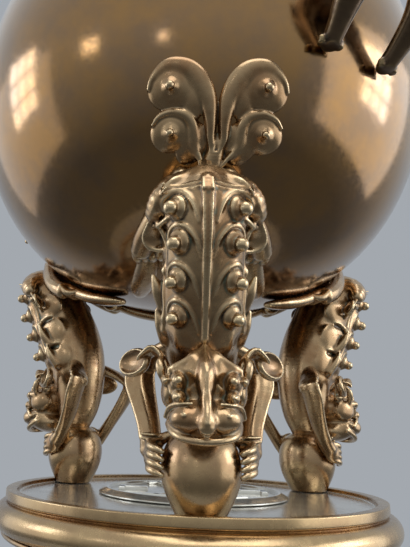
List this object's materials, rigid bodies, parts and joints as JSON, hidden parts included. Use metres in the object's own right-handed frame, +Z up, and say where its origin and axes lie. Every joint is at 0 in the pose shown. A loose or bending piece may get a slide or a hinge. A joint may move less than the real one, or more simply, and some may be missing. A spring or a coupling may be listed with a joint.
{
  "type": "tripod incense burner",
  "caption": "Globe-bowled bronze incense burner on three inverted lion-dog legs and a round socle, with lion-dog handles, loose liner and pierced lid.",
  "frame": {"origin": "centre of the socle's foot, on the surface that the burner stands on", "axes": "+Z up; -Y towards the leg that faces the picture's camera; the handles lie 30 degrees round from it and opposite"},
  "size_m": [0.2396, 0.2944, 0.4553],
  "materials": {
    "bowl_bronze": "turned and waxed bronze with a mottled brown patina",
    "cast_bronze": "cast bronze, chased and waxed, dark in the hollows",
    "rubbed_bronze": "brown bronze rubbed golden on the high places",
    "dark_bronze": "dark, little handled bronze",
    "raw_copper": "hammered sheet copper, smoked"
  },
  "bodies": {
    "burner": {"socle": "rubbed_bronze", "socle_medallion": "dark_bronze", "bowl": "bowl_bronze", "mouth_collar": "rubbed_bronze", "handle_right": "dark_bronze", "handle_left": "dark_bronze", "front_ball_foot": "rubbed_bronze", "front_ball_stud": "dark_bronze", "front_ball_nut": "dark_bronze", "front_torso": "cast_bronze", "front_head": "cast_bronze", "front_foreleg_right": "cast_bronze", "front_foreleg_left": "cast_bronze", "front_tail": "cast_bronze", "front_haunch_screw": "raw_copper", "right_ball_foot": "rubbed_bronze", "right_ball_stud": "dark_bronze", "right_ball_nut": "dark_bronze", "right_torso": "cast_bronze", "right_head": "cast_bronze", "right_foreleg_right": "cast_bronze", "right_foreleg_left": "cast_bronze", "right_tail": "cast_bronze", "right_haunch_screw": "raw_copper", "left_ball_foot": "rubbed_bronze", "left_ball_stud": "dark_bronze", "left_ball_nut": "dark_bronze", "left_torso": "cast_bronze", "left_head": "cast_bronze", "left_foreleg_right": "cast_bronze", "left_foreleg_left": "cast_bronze", "left_tail": "cast_bronze", "left_haunch_screw": "raw_copper"},
    "ash_liner": {"ash_liner": "raw_copper"},
    "lid": {"lid": "bowl_bronze", "lid_finial": "rubbed_bronze", "lid_nut": "dark_bronze"}
  },
  "joints": [
    {"name": "lid_lift", "type": "slide", "parent": "burner", "child": "lid", "axis": [0, 0, 1], "range_m": [0, 0.15]},
    {"name": "liner_lift", "type": "slide", "parent": "burner", "child": "ash_liner", "axis": [0, 0, 1], "range_m": [0, 0.008]}
  ]
}
